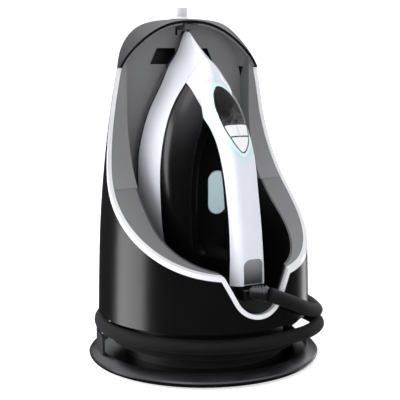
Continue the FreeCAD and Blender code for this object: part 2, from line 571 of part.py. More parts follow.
soleplate = slab(SOLE_OUTLINE, SOLE_Y - SOLE_THICK, SOLE_Y, 0.0)
vents = []
for row in range(9):
    z = 318.0 - 21.0 * row
    half = max(6.0, 42.0 * (1.0 - ((z - 190.0) / 148.0) ** 2))
    for side in (-1, 1):
        vents.append(cyl(1.5, (side * half, SOLE_Y - SOLE_THICK - 1, z), (side * half, SOLE_Y + 1, z)))
soleplate = soleplate.cut(Part.makeCompound(vents))
save("soleplate", soleplate)

y_surround = SOLE_Y - SOLE_THICK
y_skirt = y_surround - SURROUND_THICK
surround = slab(SOLE_OUTLINE, y_skirt, y_surround, 1.2).cut(slab(SOLE_OUTLINE, y_skirt - 1, y_surround + 1, 7.0))
save("sole_surround", surround)


def body_loft(inset):
    """Skirt as a full block; its nose slopes back towards the deck."""
    sections = [outline(SOLE_OUTLINE, y_skirt + (1 if inset else 0), **inset_scale(0.6 + inset)),
                outline(SOLE_OUTLINE, y_skirt - 7.0, **inset_scale(1.6 + inset)),
                outline(DECK_OUTLINE, SKIRT_TOP_Y - (1 if inset else 0), **inset_scale(inset))]
    return Part.makeLoft(sections, True, True)


skirt_block = body_loft(0.0)
skirt = skirt_block.cut(body_loft(SKIRT_WALL))
save("skirt", max(skirt.Solids, key=lambda s: s.Volume))

COVER_STEPS = [(-0.25, 0.996, 0.999, 110.0), (-11.0, 0.955, 0.965, 104.0), (-18.5, 0.86, 0.91, 107.0),
               (-25.0, 0.68, 0.82, 116.0), (COVER_CROWN_Y - SKIRT_TOP_Y, 0.42, 0.66, 140.0)]


def cover_loft(inset):
    sections = []
    for depth, wide, tall, centre in COVER_STEPS:
        y = SKIRT_TOP_Y + depth + inset
        sections.append(outline(DECK_OUTLINE, y, wide - inset / 60.0, tall - inset / 120.0, centre + 0.4 * inset))
    return Part.makeLoft(sections, True, False)


cover_block = cover_loft(0.0)
cover = cover_block.cut(cover_loft(2.4))

# pilot lens in the cover under the handle
LENS_HALF, LENS_Z0, LENS_Z1 = 10.5, 160.0, 206.0


def stadium(half, z0, z1, y0, y1):
    low, high = z0 + half, z1 - half
    return union([box(-half, half, y0, y1, low, high), cyl(half, (0, y0, low), (0, y1, low)),
                  cyl(half, (0, y0, high), (0, y1, high))]).removeSplitter()


cover = cover.cut(stadium(LENS_HALF + 0.6, LENS_Z0 - 0.6, LENS_Z1 + 0.6, COVER_CROWN_Y - 2, COVER_CROWN_Y + 5))
lens = stadium(LENS_HALF, LENS_Z0, LENS_Z1, COVER_CROWN_Y - 0.8, COVER_CROWN_Y + 4)
lens = lens.makeFillet(0.7, [e for e in lens.Edges if e.BoundBox.YMax < COVER_CROWN_Y - 0.7])
save("pilot_lens", lens)

# ================================================================ iron: handle
# Side view stations: crown (Y, Z), under side (Y, Z), half width, share of the wedge-shaped root section.
HANDLE = [((20.0, 344.5), (34.0, 322.0), 11.0, 1.0), ((3.0, 330.5), (22.0, 303.0), 18.0, 1.0),
          ((-10.0, 314.5), (12.0, 288.0), 24.5, 1.0), ((-31.0, 295.0), (-8.0, 270.0), 20.0, 0.45),
          ((-51.0, 276.0), (-29.0, 256.0), 18.2, 0.0), ((-68.0, 254.5), (-46.0, 241.5), 18.0, 0.0),
          ((-80.0, 232.0), (-56.0, 224.0), 17.6, 0.0), ((-88.0, 205.0), (-63.0, 201.0), 17.0, 0.0),
          ((-93.5, 175.0), (-67.5, 173.0), 17.0, 0.0), ((-98.5, 146.0), (-72.0, 144.0), 17.0, 0.0),
          ((-101.5, 120.0), (-74.0, 118.5), 17.3, 0.0), ((-102.5, 97.5), (-74.5, 94.0), 17.5, 0.0)]
# Line in side view where the white shell ends and the black grip begins (Y, Z).
SHELL_EDGE = [(60.0, 330.0), (22.0, 300.0), (-8.0, 278.0), (-30.0, 263.0), (-47.0, 250.0), (-59.0, 235.0),
              (-65.5, 221.0), (-70.5, 206.0), (-75.0, 188.0), (-79.0, 170.0), (-82.0, 147.0), (-83.3, 124.0),
              (-83.3, 85.0)]
# Right half of the handle's section from the under side to the crown (share of half width, of height).
GRIP_SECTION = [(0.86, 0.02), (1.0, 0.30), (0.97, 0.62), (0.72, 0.92)]
ROOT_SECTION = [(0.92, 0.02), (1.0, 0.25), (0.84, 0.60), (0.50, 0.90)]


def handle_section(crown, under, half, root):
    right = [(a0 + (a1 - a0) * root, u0 + (u1 - u0) * root)
             for (a0, u0), (a1, u1) in zip(GRIP_SECTION, ROOT_SECTION)]
    around = right + [(0.0, 1.0)] + [(-across, up) for across, up in reversed(right)] + [(0.0, -0.05)]
    points = []
    for across, up in around:
        y = under[0] + (crown[0] - under[0]) * up
        z = under[1] + (crown[1] - under[1]) * up
        points.append(V(across * half, y, z))
    curve = Part.BSplineCurve()
    curve.interpolate(points, PeriodicFlag=True)
    return Part.Wire([curve.toShape()])


handle = Part.makeLoft([handle_section(*station) for station in HANDLE], True, False)

# Front view line (X, Z) where the white saddle at the handle's root ends and the black cover begins.
SADDLE_EDGE = [(0.0, 262.0), (14.3, 266.4), (19.0, 274.7), (21.9, 283.0), (24.2, 291.9), (24.9, 297.0),
               (24.6, 301.0), (40.0, 301.0), (40.0, 345.0)]


def saddle_zone(drop):
    """Region on the nose side of the saddle's edge, the edge lowered by drop."""
    right = [V(x, -80.0, z - drop) for x, z in SADDLE_EDGE]
    left = [V(-p.x, p.y, p.z) for p in reversed(right[1:])]
    corners = right + left
    return Part.Face(Part.makePolygon(corners + [corners[0]])).extrude(V(0, 80.0, 0))


saddle = cover.common(saddle_zone(0.0))
cover = cover.cut(saddle_zone(GAP))


def outside_edge(offset):
    """Region on the outer side of the shell edge, moved inwards by offset."""
    edge = spline([(-60, y + offset, z) for y, z in SHELL_EDGE])
    low, high = V(-60, SHELL_EDGE[-1][0] + offset, SHELL_EDGE[-1][1]), V(-60, SHELL_EDGE[0][0] + offset, 330.0)
    corners = [low, V(-60, -160, low.z), V(-60, -160, 400), V(-60, high.y, 400), high]
    edges = [edge.toShape()] + [Part.makeLine(corners[i], corners[i + 1]) for i in range(4)]
    return Part.Face(Part.Wire(edges)).extrude(V(120, 0, 0))


outer_side = outside_edge(0.0)
root = handle.common(cover_block).common(saddle_zone(0.0))
handle_white = handle.common(outer_side).cut(cover_block).fuse(root).cut(skirt_block).fuse(saddle)
handle_black = handle.cut(outside_edge(GAP)).cut(skirt_block).cut(cover_block)

# ---- control panel on the sloping part: local axes along the panel (down), across (X) and out (normal)
PANEL_TOP = V(0, -29.24, 292.8)
PANEL_END = V(0, -80.0, 229.0)
PANEL_LENGTH = (PANEL_END - PANEL_TOP).Length
PANEL_DOWN = (PANEL_END - PANEL_TOP).normalize()
PANEL_OUT = V(0, PANEL_DOWN.z, -PANEL_DOWN.y)
PANEL_SHAPE = [(0.0, 0.0), (0.06, 6.6), (0.22, 12.0), (0.42, 14.0), (0.62, 13.4), (0.80, 10.4), (0.94, 5.4), (1.0, 0.0)]
PANEL_FLOOR = -3.0
PANEL_REACH = 26.0
KEY_TRAVEL = 1.0


def panel_point(share, across, out=0.0):
    return PANEL_TOP + PANEL_DOWN * (share * PANEL_LENGTH) + V(across, 0, 0) + PANEL_OUT * out


def panel_prism(grow, floor, reach=PANEL_REACH):
    """Prism over the panel's pointed oval, grown by grow, from floor outwards."""
    tall = 1.0 + 2.0 * grow / PANEL_LENGTH
    right = [panel_point(0.5 + (s - 0.5) * tall, x * (1.0 + grow / 14.0), floor) for s, x in PANEL_SHAPE]
    left = [V(-p.x, p.y, p.z) for p in reversed(right[1:-1])]
    curve = Part.BSplineCurve()
    curve.interpolate(right + left, PeriodicFlag=True)
    return Part.Face(Part.Wire([curve.toShape()])).extrude(PANEL_OUT * (reach - floor))


def panel_band(share0, share1, x0=-30.0, x1=30.0):
    """Block that keeps the part of the panel between two shares of its length."""
    corners = [panel_point(share0, x0, -20), panel_point(share0, x1, -20), panel_point(share1, x1, -20),
               panel_point(share1, x0, -20)]
    return Part.Face(Part.makePolygon(corners + [corners[0]])).extrude(PANEL_OUT * 60)


WINDOW_END, PAIR_END = 0.62, 0.79
LINE = 0.5 / PANEL_LENGTH
panel_zone = handle.common(panel_prism(0.0, PANEL_FLOOR))
body_blocks = skirt_block.fuse(cover_block)
panel_zone = panel_zone.cut(body_blocks)
halo = handle.common(panel_prism(4.2, -1.0)).cut(panel_prism(0.4, -5.0)).cut(body_blocks)
window = panel_zone.common(panel_prism(-0.5, PANEL_FLOOR)).common(panel_band(-0.2, WINDOW_END - LINE))
key_zone = panel_zone.common(panel_prism(-0.7, PANEL_FLOOR))
pair = key_zone.common(panel_band(WINDOW_END + LINE, PAIR_END - LINE))
key_left = pair.common(panel_band(0, 1, -30, -0.25))
key_right = pair.common(panel_band(0, 1, 0.25, 30))
key_lower = key_zone.common(panel_band(PAIR_END + LINE, 1.2))
handle_white = handle_white.cut(panel_prism(0.4, PANEL_FLOOR - KEY_TRAVEL - 3.2)).cut(halo)
key_board = handle.common(panel_prism(-1.5, PANEL_FLOOR - KEY_TRAVEL - 2.6, PANEL_FLOOR - KEY_TRAVEL - 0.8))
key_board = key_board.cut(body_blocks)
handle_black = handle_black.cut(panel_prism(0.4, PANEL_FLOOR - KEY_TRAVEL - 3.2))

# ---- end of the handle: arched recess over the hose exit
ARCH_HALF, ARCH_TOP_Z = 11.5, 124.0
ARCH_CORNER_R = 7.5


def arch_block(half, top, z0, y0, y1):
    """Upright block with two round top corners."""
    shoulder = top - ARCH_CORNER_R
    inner = half - ARCH_CORNER_R
    corners = [cyl(ARCH_CORNER_R, (x, y0, shoulder), (x, y1, shoulder)) for x in (-inner, inner)]
    return union([box(-half, half, y0, y1, z0, shoulder), box(-inner, inner, y0, y1, z0, top)] + corners)


handle_white = handle_white.cut(arch_block(ARCH_HALF, ARCH_TOP_Z, 80, -120, -99.3))
handle_white = handle_white.cut(arch_block(ARCH_HALF, ARCH_TOP_Z, 80, -99.4, -97.0))
arch_panel = arch_block(ARCH_HALF - SEAT, ARCH_TOP_Z - SEAT, 98.0, -98.4, -97.0)
save("handle_end_panel", arch_panel)
save("panel_halo", max(halo.Solids, key=lambda s: s.Volume))
save("display_window", window)
save("key_left", key_left)
save("key_right", key_right)
save("key_lower", key_lower)
save("key_board", max(key_board.Solids, key=lambda s: s.Volume))

# ---- steam trigger in the under side of the grip
TRIGGER_Z0, TRIGGER_Z1, TRIGGER_HALF = 196.0, 226.0, 7.5
TRIGGER_ANGLE = 6.0
trigger_pivot = (-61.5, 224.0)
trigger_slot = prism([(-TRIGGER_HALF - PLAY, -70.5, TRIGGER_Z0 - PLAY), (-TRIGGER_HALF - PLAY, -40, TRIGGER_Z0 - PLAY),
                      (-TRIGGER_HALF - PLAY, -40, TRIGGER_Z1 + 3), (-TRIGGER_HALF - PLAY, -66.0, TRIGGER_Z1 + 3)],
                     (2 * (TRIGGER_HALF + PLAY), 0, 0))
trigger = prism([(-TRIGGER_HALF, -65.0, TRIGGER_Z0), (-TRIGGER_HALF, -57.5, TRIGGER_Z0 + 1),
                 (-TRIGGER_HALF, -53.0, TRIGGER_Z0 + 10), (-TRIGGER_HALF, -54.0, TRIGGER_Z1 - 6),
                 (-TRIGGER_HALF, -57.0, TRIGGER_Z1), (-TRIGGER_HALF, -62.0, TRIGGER_Z1)], (2 * TRIGGER_HALF, 0, 0))
trigger_switch = box(-4, 4, -70.2, -68.2, 200.0, 212.0)
switch_pocket = box(-4.1, 4.1, -70.3, -60, 199.9, 212.1)
handle_black = handle_black.cut(trigger_slot).cut(switch_pocket)
handle_white = handle_white.cut(trigger_slot).cut(switch_pocket)
save("handle_shell", max(handle_white.Solids, key=lambda s: s.Volume))
save("steam_trigger", trigger)
save("trigger_switch", trigger_switch)

# ---- rear bridge between body and handle, with the hose strain relief
bridge = box(-15, 15, -74.0, -10, 101.0, 121.0)
bridge = bridge.makeFillet(5.0, [e for e in bridge.Edges if abs(e.BoundBox.YLength - 64.0) < 0.1])
bridge = bridge.cut(handle).cut(cover_block).cut(skirt_block)
save("rear_bridge", max(bridge.Solids, key=lambda s: s.Volume))
save("handle_grip", max(handle_black.Solids, key=lambda s: s.Volume))
save("body_cover", max(cover.Solids, key=lambda s: s.Volume))

swivel = box(-12.5, 12.5, -104.0, -82.0, 82.0, 93.6)
swivel = swivel.makeFillet(3.5, [e for e in swivel.Edges if e.BoundBox.ZLength > 5])
swivel = swivel.makeFillet(1.2, [e for e in swivel.Edges if e.BoundBox.ZMax < 82.1 or e.BoundBox.ZMin > 93.5])
save("swivel_block", swivel)
out = (V(*HOSE_NEXT) - V(*HOSE_START)).normalize()
sleeve_end = V(*HOSE_START) - out * GAP
sleeve_start = V(-9.0, -108.0, 92.5)
axis = sleeve_end - sleeve_start
sleeve = Part.makeCone(6.4, 8.2, axis.Length, sleeve_start, axis).cut(swivel)
sleeve_cut = Part.makeBox(60, 60, 60, V(-30, -30, 0))
sleeve_cut.Placement = FreeCAD.Placement(sleeve_end, FreeCAD.Rotation(V(0, 0, 1), out))
sleeve = sleeve.cut(sleeve_cut)
save("strain_relief", max(sleeve.Solids, key=lambda s: s.Volume))

# ================================================================ iron: heat and steam side
heater_depth = 14.0
y_block1 = SOLE_Y - SOLE_THICK
y_block0 = y_block1 - heater_depth
block = slab(SOLE_OUTLINE, y_block0, y_block1, 11.0)


def u_tube(radius, grow, y):
    """Heating element: two legs joined by a bend near the nose."""
    r = radius + grow
    legs = [cyl(r, (side * 22, y, 125), (side * 22, y, 262)) for side in (-1, 1)]
    bend = Part.makeTorus(22, r, V(0, y, 262), V(0, 1, 0))
    bend = bend.common(box(-40, 40, y - 10, y + 10, 262, 300))
    return union(legs + [bend])


block = block.cut(u_tube(3.5, SEAT, y_block0 + 1.0))
block = block.cut(box(-12, 12, y_block0 - 1, y_block0 + 8, 150, 240))
save("heating_element", u_tube(3.5, 0.0, y_block0 + 1.0).removeSplitter())
save("steam_chamber_cover", box(-15.5, 15.5, y_block0 - 1.6, y_block0 - SEAT, 147, 243))
save("iron_thermostat", cyl(7.0, (0, y_block0 - 12, 134), (0, y_block0 - SEAT, 134)))
save("thermal_fuse", cyl(2.5, (-9, y_block0 - 5, 256), (9, y_block0 - 5, 256)).fuse(
    box(-4, 4, y_block0 - 5, y_block0 - SEAT, 254, 258)).removeSplitter())
iron_screws = []
for x, z in ((-40.0, 150.0), (40.0, 150.0), (-30.0, 262.0), (30.0, 262.0)):
    post = cyl(2.0, (x, y_block0 - 10, z), (x, y_block0 + 9, z))
    iron_screws.append(post.fuse(cyl(4.0, (x, y_block0 - 12.5, z), (x, y_block0 - 10, z))))
    block = block.cut(cyl(2.0 + SEAT, (x, y_block0 - 1, z), (x, y_block0 + 9.5, z)))
save("heating_block", block)
save("iron_screws", Part.makeCompound(iron_screws))

# ================================================================ rest under the heel
heel_rest = box(-26, 26, -4, 36, POCKET_FLOOR_Z, 97.4)
heel_rest = heel_rest.cut(slab(SOLE_OUTLINE, -10, 45, -0.4))
save("heel_rest", heel_rest)

# ================================================================ steam hose
save("steam_hose", tube_along(hose_route, HOSE_D / 2))
print("hose points", len(hose_route))
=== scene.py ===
# %% [markdown]
# # Steam-generator iron in its docking tower
# A clothes iron stands nose up in a round black tower. The tower holds a water tank, a generator and a
# textile-covered steam hose that is wound round its foot. The engineering model gives every piece its place
# and size. This file gives them their surfaces, and replaces the pieces that need softer shapes.

# %% Load the frame
import json
import math

import bmesh
import bpy
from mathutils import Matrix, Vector
from mathutils.bvhtree import BVHTree


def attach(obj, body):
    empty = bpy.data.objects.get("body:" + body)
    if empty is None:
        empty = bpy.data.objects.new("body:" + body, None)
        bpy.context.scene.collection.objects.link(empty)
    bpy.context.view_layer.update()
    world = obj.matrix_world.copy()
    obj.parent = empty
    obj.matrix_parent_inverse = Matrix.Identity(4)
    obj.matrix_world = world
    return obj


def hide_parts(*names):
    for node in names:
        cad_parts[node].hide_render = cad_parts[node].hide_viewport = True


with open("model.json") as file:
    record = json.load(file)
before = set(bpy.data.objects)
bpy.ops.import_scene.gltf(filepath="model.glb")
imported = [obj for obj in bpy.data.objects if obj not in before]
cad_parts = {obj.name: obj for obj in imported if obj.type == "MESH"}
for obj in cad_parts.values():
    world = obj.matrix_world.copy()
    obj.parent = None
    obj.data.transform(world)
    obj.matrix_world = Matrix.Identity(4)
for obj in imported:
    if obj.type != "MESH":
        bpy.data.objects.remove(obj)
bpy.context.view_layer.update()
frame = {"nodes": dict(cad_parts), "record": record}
scene = bpy.context.scene
MM = 0.001
print("pieces in the frame:", len(frame["nodes"]))

# %% [markdown]
# ## Small helpers
# Colours are written as sRGB hex, as a painter would name them, but a shader needs linear light, so one
# function turns one into the other. Another adds a node with its settings and links, which keeps each
# material readable as a short list of what feeds what. The last one turns a curve or a modifier's result into
# a plain mesh.

# %% Colour and node helpers
def linear(code):
    """Linear RGBA of an sRGB hex colour."""
    parts = [int(code[i:i + 2], 16) / 255 for i in (1, 3, 5)]
    return [c / 12.92 if c <= 0.04045 else ((c + 0.055) / 1.055) ** 2.4 for c in parts] + [1.0]


def add(tree, kind, values=None, links=None, **settings):
    """Adds a node: settings are its properties, values its inputs, links the sockets that feed it."""
    made = tree.nodes.new(kind)
    for name, value in settings.items():
        setattr(made, name, value)
    for name, value in (values or {}).items():
        made.inputs[name].default_value = value
    for name, source in (links or {}).items():
        tree.links.new(source, made.inputs[name])
    return made


def start_material(name, **values):
    """Material with one Principled shader whose plain sockets are set; returns it, its tree and shader."""
    material = bpy.data.materials.new(name)
    material.use_nodes = True
    tree = material.node_tree
    tree.nodes.clear()
    shader = add(tree, "ShaderNodeBsdfPrincipled", {k.replace("_", " "): v for k, v in values.items()})
    add(tree, "ShaderNodeOutputMaterial", links={"Surface": shader.outputs["BSDF"]})
    return material, tree, shader


def plain_mesh(carrier):
    """Mesh of what an object shows once it is evaluated; the object is used up."""
    scene.collection.objects.link(carrier)
    mesh = bpy.data.meshes.new_from_object(carrier.evaluated_get(bpy.context.evaluated_depsgraph_get()))
    bpy.data.objects.remove(carrier)
    return mesh


# %% [markdown]
# ## Camera
# The picture is taken from the left of the tower's front and slightly above it, with a long lens, so the
# round foot shows as a flat ellipse. The camera is placed by its turn round the tower, its distance and its
# height, and looks down by a few degrees.

# %% Camera
CAMERA_TURN = math.radians(-30.12)
CAMERA_DISTANCE = 1.0392
CAMERA_HEIGHT = 0.3257
CAMERA_DOWN = math.radians(8.46)
CAMERA_LENS = 87.0
CAMERA_SHIFT = -0.0086

camera = bpy.data.objects.new("camera", bpy.data.cameras.new("camera"))
camera.location = (math.sin(CAMERA_TURN) * CAMERA_DISTANCE, -math.cos(CAMERA_TURN) * CAMERA_DISTANCE,
                   CAMERA_HEIGHT)
camera.rotation_euler = (math.pi / 2 - CAMERA_DOWN, 0, CAMERA_TURN)
camera.data.sensor_width = 36
camera.data.lens = CAMERA_LENS
camera.data.shift_x = CAMERA_SHIFT
scene.collection.objects.link(camera)
scene.camera = camera
print("camera: %.3f m away, %.1f degrees to the left" % (CAMERA_DISTANCE, -math.degrees(CAMERA_TURN)))

# %% [markdown]
# ## Floor and light
# Glossy black plastic shows its shape only through what it mirrors. A broad softbox on the left draws the
# soft grey highlight on the shell, a narrow one on the right draws its far edge, and the front stays dark, so
# the middle of the shell stays black. White plastic needs soft light from everywhere instead. The world
# therefore gives an even fill to matt surfaces, a dome that is dark near the ground to mirror-like ones, and
# white behind the object. Two lights are hidden from reflections, because they only brighten the white and
# grey plastic. The floor is a round sweep of paper that rises far behind, as in a product studio. It is
# hidden from reflections too: those of the shell dip below it, and have to find the softboxes there, not
# white paper.

# %% Softboxes
# name, turn in degrees, then distance, height, width and length in metres, power in watts, and whether it is
# shown in reflections
SOFTBOXES = [("softbox_left", -112, 1.3, 0.0, 0.9, 1.7, 21, True),
             ("softbox_right", 108, 1.3, 0.0, 0.35, 1.7, 4, True),
             ("softbox_high", -62, 1.4, 1.9, 1.0, 1.0, 6, True),
             ("softbox_top", 150, 0.4, 2.4, 1.6, 1.6, 9, True),
             ("softbox_right_fill", 60, 1.5, 1.2, 0.8, 0.8, 4, False),
             ("softbox_key", -105, 1.5, 1.1, 1.0, 1.0, 13, False)]
AIM_HEIGHT = 0.18


def softbox(name, turn, distance, height, width, tall, power):
    """Area light that stands round the tower at a turn in degrees and faces its middle."""
    light = bpy.data.lights.new(name, "AREA")
    light.shape = "RECTANGLE"
    light.size = width
    light.size_y = tall
    light.energy = power
    lamp = bpy.data.objects.new(name, light)
    angle = math.radians(turn)
    lamp.location = (math.sin(angle) * distance, -math.cos(angle) * distance, height)
    aim = Vector((0, 0, AIM_HEIGHT)) - lamp.location
    lamp.rotation_euler = aim.to_track_quat("-Z", "Y").to_euler()
    scene.collection.objects.link(lamp)
    return lamp


for name, turn, distance, height, width, tall, power, mirrored in SOFTBOXES:
    softbox(name, turn, distance, height, width, tall, power).visible_glossy = mirrored
print("softboxes:", len(SOFTBOXES))

# %% World: an even fill, a dome for reflections and white behind the object
MATT_FILL = 0.4
DOME_START, DOME_END = 0.1, 0.9
MIRRORED_LOW, MIRRORED_HIGH = 0.05, 3.0
scene.view_settings.view_transform = "Standard"

world = bpy.data.worlds.new("studio")
world.use_nodes = True
scene.world = world
sky = world.node_tree
sky.nodes.clear()
path = add(sky, "ShaderNodeLightPath")
fill = add(sky, "ShaderNodeBackground", {"Color": linear("#f1f2f8"), "Strength": MATT_FILL})
direction = add(sky, "ShaderNodeTexCoord").outputs["Generated"]
upward = add(sky, "ShaderNodeSeparateXYZ", links={"Vector": direction})
dome = add(sky, "ShaderNodeMapRange", {"From Min": DOME_START, "From Max": DOME_END, "To Min": MIRRORED_LOW,
                                       "To Max": MIRRORED_HIGH}, {"Value": upward.outputs["Z"]})
mirrored = add(sky, "ShaderNodeBackground", {"Color": linear("#f1f2f8")}, {"Strength": dome.outputs[0]})
behind = add(sky, "ShaderNodeBackground", {"Color": linear("#ffffff"), "Strength": 1.0})
seen = add(sky, "ShaderNodeMixShader", links={0: path.outputs["Is Glossy Ray"], 1: fill.outputs[0],
                                              2: mirrored.outputs[0]})
mixed = add(sky, "ShaderNodeMixShader", links={0: path.outputs["Is Camera Ray"], 1: seen.outputs[0],
                                               2: behind.outputs[0]})
add(sky, "ShaderNodeOutputWorld", links={"Surface": mixed.outputs[0]})

# %% Paper floor: it glows a little, so that its far edge does not show against the backdrop
PAPER_GLOW = 0.62
PAPER_REACH, PAPER_BEND = 12.0, 9.0
paper, tree, shader = start_material("matt_paper_floor", Roughness=0.9, Specular_IOR_Level=0.1,
                                     Emission_Color=linear("#ffffff"), Emission_Strength=PAPER_GLOW)
fibre = add(tree, "ShaderNodeTexNoise", {"Scale": 1 / (30 * MM), "Detail": 3.0},
            {"Vector": add(tree, "ShaderNodeTexCoord").outputs["Object"]})
tint = add(tree, "ShaderNodeMix", {6: linear("#f3f3f4"), 7: linear("#f7f7f8")}, {0: fibre.outputs["Fac"]},
           data_type="RGBA")
tree.links.new(tint.outputs[2], shader.inputs["Base Color"])


def paper_sweep(name, reach, bend, sides=96):
    """Round sheet of paper that lies flat to its reach and then curls up into a wall, bend in radius."""
    profile = [(reach, 0.0)]
    profile += [(reach + bend * math.sin(a), bend * (1 - math.cos(a))) for a in
                (math.radians(10 * k) for k in range(1, 10))]
    mesh = bmesh.new()
    rings = [[mesh.verts.new((math.sin(2 * math.pi * k / sides) * radius,
                              -math.cos(2 * math.pi * k / sides) * radius, height)) for k in range(sides)]
             for radius, height in profile]
    mesh.faces.new(rings[0])
    for near, far in zip(rings, rings[1:]):
        for k in range(sides):
            mesh.faces.new((near[k], near[(k + 1) % sides], far[(k + 1) % sides], far[k])).smooth = True
    data = bpy.data.meshes.new(name)
    mesh.to_mesh(data)
    mesh.free()
    return data


floor_mesh = paper_sweep("paper_sweep", PAPER_REACH, PAPER_BEND)
floor_mesh.materials.append(paper)
floor = bpy.data.objects.new("floor", floor_mesh)
scene.collection.objects.link(floor)
floor.visible_glossy = False
print("floor: %.0f m across" % (2 * (PAPER_REACH + PAPER_BEND)))

# %% [markdown]
# ## The steam hose
# The hose leaves the iron's handle, crosses the front rim and is wound round the base, where it ends in a
# socket. Its centre line is one smooth NURBS spline. The lead-in points are listed, and the turns come from a
# loop. The tube is swept along points read from that spline, so that its sleeve can have its own UV map: one
# direction along the hose and one round it, which the braid follows.

# %% Route of the hose
HOSE_DIAMETER = 14.5 * MM
LEAD_IN = [(5.0, -121.2, 91.5), (17.0, -121.9, 86.5), (31.0, -120.2, 80.3), (45.0, -115.8, 74.0),
           (58.0, -109.2, 68.0), (70.5, -101.2, 62.8), (82.5, -92.0, 58.0), (93.5, -80.5, 54.0)]
# azimuth from the front in degrees, radius and height in millimetres, at a few places of the winding
WINDING = [(58.0, 124.8, 50.3), (95.0, 124.6, 49.0), (140.0, 120.5, 44.5), (180.0, 117.5, 43.0),
           (240.0, 114.0, 41.8), (270.0, 114.0, 41.3), (330.0, 109.0, 38.5), (375.0, 110.5, 37.3),
           (420.0, 129.0, 35.6), (460.0, 117.0, 33.6), (500.0, 106.0, 34.0), (540.0, 101.0, 32.0),
           (620.0, 98.5, 29.4), (700.0, 97.8, 28.8), (745.0, 98.0, 27.2), (795.0, 98.5, 18.9),
           (832.0, 98.5, 18.8)]
STEP = 18.0  # degrees between the spline's control points


def winding_point(azimuth):
    """Centre line at an azimuth counted from the front, eased between the listed places, in metres."""
    for (a0, r0, z0), (a1, r1, z1) in zip(WINDING, WINDING[1:]):
        if azimuth <= a1:
            ease = 0.5 - 0.5 * math.cos(math.pi * (azimuth - a0) / (a1 - a0))
            radius, height, turn = r0 + (r1 - r0) * ease, z0 + (z1 - z0) * ease, math.radians(azimuth)
            break
    return Vector((math.sin(turn) * radius, -math.cos(turn) * radius, height)) * MM


turn_steps = round((WINDING[-1][0] - WINDING[0][0]) / STEP)
hose_route = [Vector(p) * MM for p in LEAD_IN]
hose_route += [winding_point(WINDING[0][0] + STEP * i) for i in range(turn_steps + 1)]


def points_of(curve):
    """Points that Blender samples along a curve."""
    line = plain_mesh(bpy.data.objects.new(curve.name, curve))
    points = [v.co.copy() for v in line.vertices]
    bpy.data.meshes.remove(line)
    return points


def smooth_line(name, route, resolution=6):
    """Evenly followed points of the NURBS spline that has the route as its control points."""
    curve = bpy.data.curves.new(name, "CURVE")
    curve.dimensions = "3D"
    spline = curve.splines.new("NURBS")
    spline.points.add(len(route) - 1)
    for point, spot in zip(spline.points, route):
        point.co = (*spot, 1)
    spline.order_u = 3
    spline.use_endpoint_u = True
    spline.resolution_u = resolution
    return points_of(curve)


hose_line = smooth_line("hose_line", hose_route)


# %% Sweep of a round section along a line
def swept_tube(name, line, radius, sides=24, profile=None):
    """Closed tube along a line; profile(distance) may change its radius. The UV map holds the length along
    it in metres and the share of the turn round it."""
    directions = [(b - a).normalized() for a, b in zip(line, line[1:])]
    tangents = [directions[0]] + [(a + b).normalized() for a, b in zip(directions, directions[1:])]
    tangents.append(directions[-1])
    normal = tangents[0].orthogonal().normalized()
    mesh = bmesh.new()
    uv = mesh.loops.layers.uv.new("along_and_round")
    rings, distance, distances = [], 0.0, []
    for i, spot in enumerate(line):
        if i:
            distance += (spot - line[i - 1]).length
            turn = tangents[i - 1].rotation_difference(tangents[i])
            normal = (turn @ normal).normalized()
        side = tangents[i].cross(normal)
        size = radius * (profile(distance) if profile else 1.0)
        rings.append([mesh.verts.new(spot + (normal * math.cos(a) + side * math.sin(a)) * size)
                      for a in (2 * math.pi * k / sides for k in range(sides))])
        distances.append(distance)
    for i, (near, far) in enumerate(zip(rings, rings[1:])):
        for k in range(sides):
            face = mesh.faces.new((near[k], near[(k + 1) % sides], far[(k + 1) % sides], far[k]))
            face.smooth = True
            for loop, (along, around) in zip(face.loops, ((i, k), (i, k + 1), (i + 1, k + 1), (i + 1, k))):
                loop[uv].uv = (distances[along], around / sides)
    mesh.faces.new(list(reversed(rings[0])))
    mesh.faces.new(rings[-1])
    bmesh.ops.recalc_face_normals(mesh, faces=mesh.faces)
    data = bpy.data.meshes.new(name)
    mesh.to_mesh(data)
    mesh.free()
    return data


def place(name, data, body, material, nodes=()):
    """Puts a new mesh into the scene as a piece that rides on a body and stands for CAD nodes."""
    piece = bpy.data.objects.new(name, data)
    scene.collection.objects.link(piece)
    data.materials.clear()
    data.materials.append(material)
    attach(piece, body)
    if nodes:
        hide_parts(*nodes)
    return piece


# %% [markdown]
# ## The braided sleeve
# A steam hose is a silicone tube in a sleeve of black polyester yarn. The sleeve is plaited from two sets of
# yarns that cross on a slant, so its pattern is a net of small diamonds. It is matt with a faint sheen from
# the fibres. Two slanted waves on the hose's own UV map make the diamonds. The yarn pitch is a guess, drawn
# rather coarse so that it shows.

# %% Braided polyester
YARN_PITCH = 2.4 * MM
YARNS_ROUND = 16
YARN_HEIGHT = 0.4 * MM
FIBRE_SIZE = 0.5 * MM
FIBRE_SHARE = 0.25


